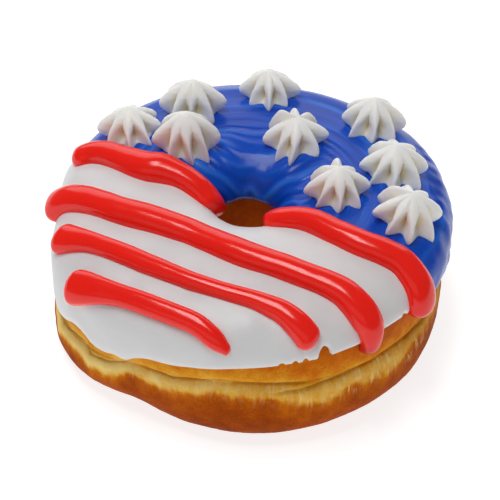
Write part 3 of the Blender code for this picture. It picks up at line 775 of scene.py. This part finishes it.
def draw_bead(name, line):
    """A bead of gel along its route."""
    bpy.ops.object.select_all(action="DESELECT")
    bpy.ops.mesh.primitive_uv_sphere_add(segments=BEAD_SEGMENTS, ring_count=BEAD_RINGS, radius=1)
    bead = bpy.context.active_object
    bead.name = name.replace("red_line", "gel")
    x, y, z = raw_points(bead).T
    ring_number = np.rint(np.arccos(np.clip(-z, -1, 1)) / math.pi * BEAD_RINGS)
    turn = np.arctan2(y, x)
    # Rings crowd towards the ends, where the bead rounds off.
    share = ring_number / BEAD_RINGS
    share = share - 0.8 * np.sin(math.tau * share) / math.tau
    route_azimuth, route_run, length = line_route(line, ROUTE_STEPS)
    steps = np.linspace(0, 1, ROUTE_STEPS)
    azimuth, run = np.interp(share, steps, route_azimuth), np.interp(share, steps, route_run)
    # The hand's pressure changes gently, so the widths run into each other.
    width = np.mean([np.interp(share + shift, *np.array(line["width"]).T)
                     for shift in np.linspace(-WIDTH_BLEND, WIDTH_BLEND, 9)], axis=0)
    first, last = line["width"][0][1], line["width"][-1][1]
    from_left, from_right = share * length, (1 - share) * length
    closeness = np.maximum(1 - from_left / first, 1 - from_right / last).clip(0, 1)
    closing = np.sqrt(1 - closeness**2)
    ahead, behind = np.clip(share + DIRECTION_STEP, 0, 1), np.clip(share - DIRECTION_STEP, 0, 1)
    along = np.radians(np.interp(ahead, steps, route_azimuth) - np.interp(behind, steps, route_azimuth))
    along = along * place_at(run)[0] * swell(azimuth)
    outwards = np.interp(ahead, steps, route_run) - np.interp(behind, steps, route_run)
    size = np.hypot(along, outwards)
    across = np.sign(np.cos(turn)) * np.abs(np.cos(turn)) ** 0.9 * width * closing
    up = np.where(np.sin(turn) > 0, np.abs(np.sin(turn)) ** 0.9, -0.12 * np.abs(np.sin(turn)) ** 0.5)
    seat = moved(azimuth, run, outwards / size * across, -along / size * across)
    bedding = np.max([icing_lift(seat[0], seat[1] - back) for back in (0.0, 0.8, 1.6)], axis=0)
    travelled = np.column_stack([share * length, 0 * share, 0 * share])
    tallness = (BEAD_LOW + BEAD_ROUND * width) * (1 + 0.06 * cloud(travelled, 9.0, 2, float(len(name))))
    lift = bedding + up * tallness * closing**0.9
    # The underside reaches down to the dough, so that nothing shows under a bead that leaves the icing.
    lift = np.where(up < 0, -BEAD_BED, lift)
    write_points(bead, on_ring(*seat, lift))
    write_value(bead, "over_dough", step_up(run - outer_rim(azimuth) + 0.5, 1.2))
    finish_piece(bead, gel, name)


for name, line in LINES.items():
    draw_bead(name, line)

# %% [markdown]
# ## Piped cream
#
# The stars are stiff vegetable cream, pressed through a star nozzle with eight slots. It is matt and
# lets light in deeply. Its valleys are painted a creamy tint, a painted glow, so that they look creamy and
# not grey. It stands on wet blue icing, and a trace of the blue has crept into its foot.

# %% Material: piped cream
cream, tree = new_material("piped_cream")
depth = add_node(tree, "ShaderNodeAttribute", {"attribute_name": "valley"})
foot = add_node(tree, "ShaderNodeAttribute", {"attribute_name": "foot"})
place = add_node(tree, "ShaderNodeTexCoord")
# Painted glow: the valleys are tinted creamy yellow, for the light that the cream lets in.
tint = add_node(tree, "ShaderNodeValToRGB", {"stops": [(0.0, linear("#F5F4F0")), (1.0, linear("#FAEBBE"))]},
                {"Fac": (depth, "Fac")})
bled = add_node(tree, "ShaderNodeMix", {"data_type": "RGBA", 7: linear("#6FA0D8")},
                {0: (foot, "Fac"), 6: (tint, "Color")})
pores = add_pores(tree, place, 0.4, 0.1)
add_surface(tree, {
    "IOR": 1.45, "Roughness": 0.42, "Subsurface Weight": 0.8, "Subsurface Radius": (1.0, 0.92, 0.75),
    "Subsurface Scale": 1.9 * MM}, {"Base Color": (bled, 2), "Normal": (pores, "Normal")})
print("made", cream.name)

# %% [markdown]
# ## One star, nine times
#
# A nozzle's eight slots make eight ridges. They swell out at the foot and run together in a tip that is
# pulled off. The star starts as a ball with sixteen columns of faces to each ridge, which are pushed out
# to the ridges and drawn in at the valleys. The ball is modelled once. Each star gets a copy of its mesh,
# with its own size, lean and unevenness, and its foot is bent onto the icing.

# %% Model the star and set nine copies
RIDGES, FRONT_RIDGE = 8, -90.0
# Shares of the height, and the reach there as shares of the star's radius. The three ridges in front end
# in toes on the icing, and the others end in noses that tuck under. The valleys fade towards the tip.
STAR_LEVELS = [0.0, 0.05, 0.12, 0.22, 0.30, 0.38, 0.52, 0.68, 0.80, 0.90, 0.96, 1.0]
STAR_TOE = [0.99, 1.02, 1.03, 1.00, 0.96, 0.91, 0.78, 0.60, 0.44, 0.27, 0.16, 0.05]
STAR_NOSE = [0.70, 0.76, 0.88, 1.00, 1.04, 1.03, 0.92, 0.70, 0.49, 0.29, 0.17, 0.05]
STAR_VALLEY = [0.70, 0.63, 0.51, 0.40, 0.36, 0.37, 0.45, 0.47, 0.385, 0.255, 0.155, 0.05]
STAR_RINGS, STAR_BASE_RINGS, COLUMNS_TO_A_RIDGE = 76, 10, 16
# How far a star leans off the slope it stands on, and how deep its foot lies in the icing.
STAR_LEAN, STAR_SINK = 0.35, 0.25
# The ridges that reach less far, behind the tip, and by what share.
BACK_RIDGES, BACK_SHARE = (3, 4, 5), 0.93
# Azimuth and run of the foot's middle, radius, height, how far the tip is drawn right and back, and
# how many degrees the nozzle was turned.
STARS = [
    (141.5, 11.0, 7.5, 7.3, -0.2, 0.3, -4),
    (114.0, 8.8, 7.9, 8.9, 0.3, 0.2, 0),
    (132.5, -2.5, 7.7, 10.0, -0.2, 0.2, 4),
    (82.0, 12.5, 7.0, 7.4, -0.3, 0.4, -4),
    (58.0, -3.7, 7.7, 6.8, 0.5, 0.6, 3),
    (-4.5, -3.8, 7.3, 7.5, 0.2, 0.3, 5),
    (40.5, 13.3, 7.6, 8.2, 0.1, 0.2, 1),
    (12.0, 9.6, 7.9, 7.7, 0.2, 0.3, 5),
    (-14.5, 12.5, 7.7, 7.5, 0.6, 0.3, 9),
]
# Ridges that stand up behind the tip: star, ridge number from the front one round, rise in millimetres.
RAISED = [(5, 3, 1.6), (5, 4, 1.9), (5, 5, 2.6), (6, 4, 1.4), (6, 5, 0.9), (8, 5, 1.0), (9, 5, 1.8),
          (9, 4, 0.8)]
# The front ridge of the second star is pressed short by the star in front of it.
PRESSED_STAR, PRESSED_SHARE = 2, 0.72

bpy.ops.object.select_all(action="DESELECT")
bpy.ops.mesh.primitive_uv_sphere_add(segments=RIDGES * COLUMNS_TO_A_RIDGE, ring_count=STAR_RINGS, radius=1)
first_star = bpy.context.active_object
x, y, z = raw_points(first_star).T
star_ring = np.rint(np.arccos(np.clip(-z, -1, 1)) / math.pi * STAR_RINGS)
star_turn = np.degrees(np.arctan2(y, x)) - FRONT_RIDGE
star_base = np.clip(star_ring / STAR_BASE_RINGS, 0, 1)
star_level = np.clip((star_ring - STAR_BASE_RINGS) / (STAR_RINGS - STAR_BASE_RINGS), 0, 1)
print("ball of cream:", len(first_star.data.vertices), "vertices")


def set_star(number, star):
    """Copies the ball and shapes the copy on the icing."""
    azimuth, run, radius, height, tip_right, tip_back, nozzle_turn = star
    copied = first_star.copy()
    copied.data = first_star.data.copy()
    copied.name = f"cream_star_{number}"
    bpy.context.scene.collection.objects.link(copied)
    ridge = np.rint(star_turn / (360 / RIDGES)) % RIDGES
    aside = (star_turn / (360 / RIDGES) + 0.5) % 1 * 2 - 1
    # Each ridge is a little longer or shorter, and stands a little to one side.
    uneven = np.random.default_rng(number).uniform(-1, 1, (3, RIDGES))
    long = 1 + 0.06 * uneven[0][ridge.astype(int)]
    if number == PRESSED_STAR:
        long = long * np.where(ridge == 0, PRESSED_SHARE, 1)
    sway = 5.0 * uneven[1][ridge.astype(int)] * (1 - np.abs(aside))
    # Low down the ridges are pointed toes with hollows between them, and above that full petals.
    beside = (np.sqrt(aside**2 + 0.01) - 0.1) / (math.sqrt(1.01) - 0.1)
    in_front = np.isin(ridge, (0, 1, RIDGES - 1))
    full = step_up(star_level - np.where(in_front, 0.5, 0.2), 0.18)
    crest = full * (1 - beside**1.6) + (1 - full) * (1 - np.sin(math.pi / 2 * beside))
    toe, nose = (np.interp(star_level, STAR_LEVELS, profile) for profile in (STAR_TOE, STAR_NOSE))
    nose = nose * np.where(np.isin(ridge, BACK_RIDGES), BACK_SHARE, 1)
    outer = np.where(in_front, toe, nose) * long
    inner = np.interp(star_level, STAR_LEVELS, STAR_VALLEY)
    reach = radius * star_base * (inner + (outer - inner) * crest)
    turn = np.radians(star_turn + FRONT_RIDGE + nozzle_turn + sway)
    rise = height * star_level * (1 + 0.07 * uneven[2][ridge.astype(int)] * crest * (1 - star_level**3))
    for which, lifted, extra in RAISED:
        if which == number:
            rise = rise + extra * (ridge == lifted) * crest**1.3 * hump(star_level - 0.72, 0.22)
    lift = float(icing_lift(azimuth, run)) - STAR_SINK
    centre = on_ring(azimuth, run, lift)
    off = on_ring(azimuth, run, lift + 1) - centre
    axis = Vector((0, 0, 1)).lerp(Vector(off).normalized(), STAR_LEAN).normalized()
    right = Vector((0, 1, 0)).cross(axis).normalized()
    back = axis.cross(right)
    flat = np.outer(reach * np.cos(turn), right) + np.outer(reach * np.sin(turn), back)
    outward = np.array([math.cos(math.radians(azimuth)), math.sin(math.radians(azimuth)), 0])
    around = np.array([-outward[1], outward[0], 0])
    seat = moved(azimuth, run, flat @ around, flat @ outward)
    wrapped = on_ring(*seat, icing_lift(*seat) - STAR_SINK)
    drawn = np.outer(star_level**3 * tip_right, right) + np.outer(star_level**3 * tip_back, back)
    points = centre + flat + np.outer(rise, axis) + drawn
    points = points + (wrapped - centre - flat) * ((1 - star_level) ** 2)[:, None]
    write_points(copied, points)
    # A painted glow in the valleys, strongest a little below half the star's height.
    write_value(copied, "valley", np.clip(1 - crest * 1.6, 0, 1) * hump(star_level - 0.38, 0.26))
    write_value(copied, "foot", hump(star_level, 0.035) * 0.5)
    finish_piece(copied, cream, f"star_{number}")


for number, star in enumerate(STARS, 1):
    set_star(number, star)
bpy.data.objects.remove(first_star)

# %% [markdown]
# ## Floor and light
#
# The photograph has a plain white ground and soft, even light. A wide box stands low behind the ring:
# its reflection is the pale sheet on the far side of the gel, with a clear lower edge along the middle of
# each line. The main box hangs overhead. It gives the thin light lines on the gel's near side and the
# soft highlights down in the hole. A third box in front fills the ring's side.

# %% Floor, boxes and surroundings
bpy.ops.object.select_all(action="DESELECT")
bpy.ops.mesh.primitive_plane_add(size=6, location=(0, 0, -0.05 * MM))
floor = bpy.context.active_object
floor.name = "floor"
card, tree = new_material("white_card")
add_surface(tree, {
    "Base Color": linear("#B4B4B4"), "Roughness": 0.9, "Specular IOR Level": 0.0,
    "Emission Color": linear("#FFFFFF"), "Emission Strength": 0.8})
floor.data.materials.append(card)

# Name, place in metres, width and depth, brightness, and colour.
LIGHTS = [
    ("box_behind", (0.0, 0.76, 0.46), (1.2, 0.5), 1.5, "#FFFFFF"),
    ("box_top", (-0.14, 0.0, 0.92), (0.5, 0.3), 9.4, "#FFFFFF"),
    ("box_front", (-0.25, -0.66, 0.42), (0.9, 0.40), 0.42, "#FFFFFF"),
]
for name, spot, (wide, deep), brightness, colour in LIGHTS:
    data = bpy.data.lights.new(name, "AREA")
    data.shape, data.size, data.size_y = "RECTANGLE", wide, deep
    # A box's power is its brightness spread over its area and over all directions.
    data.energy, data.color = brightness * math.pi * wide * deep, linear(colour)[:3]
    lamp = bpy.data.objects.new(name, data)
    lamp.location = spot
    lamp.rotation_euler = (Vector(spot) - LOOK_AT).to_track_quat("Z", "Y").to_euler()
    bpy.context.scene.collection.objects.link(lamp)

world = bpy.data.worlds.new("dim_room")
world.use_nodes = True
tree = world.node_tree
tree.nodes.clear()
sky = add_node(tree, "ShaderNodeBackground", {"Color": linear("#FDFDFF"), "Strength": 0.16})
add_node(tree, "ShaderNodeOutputWorld", links={"Surface": (sky, "Background")})
bpy.context.scene.world = world
bpy.context.scene.view_settings.view_transform = "Standard"
print("lit by", len(LIGHTS), "boxes")
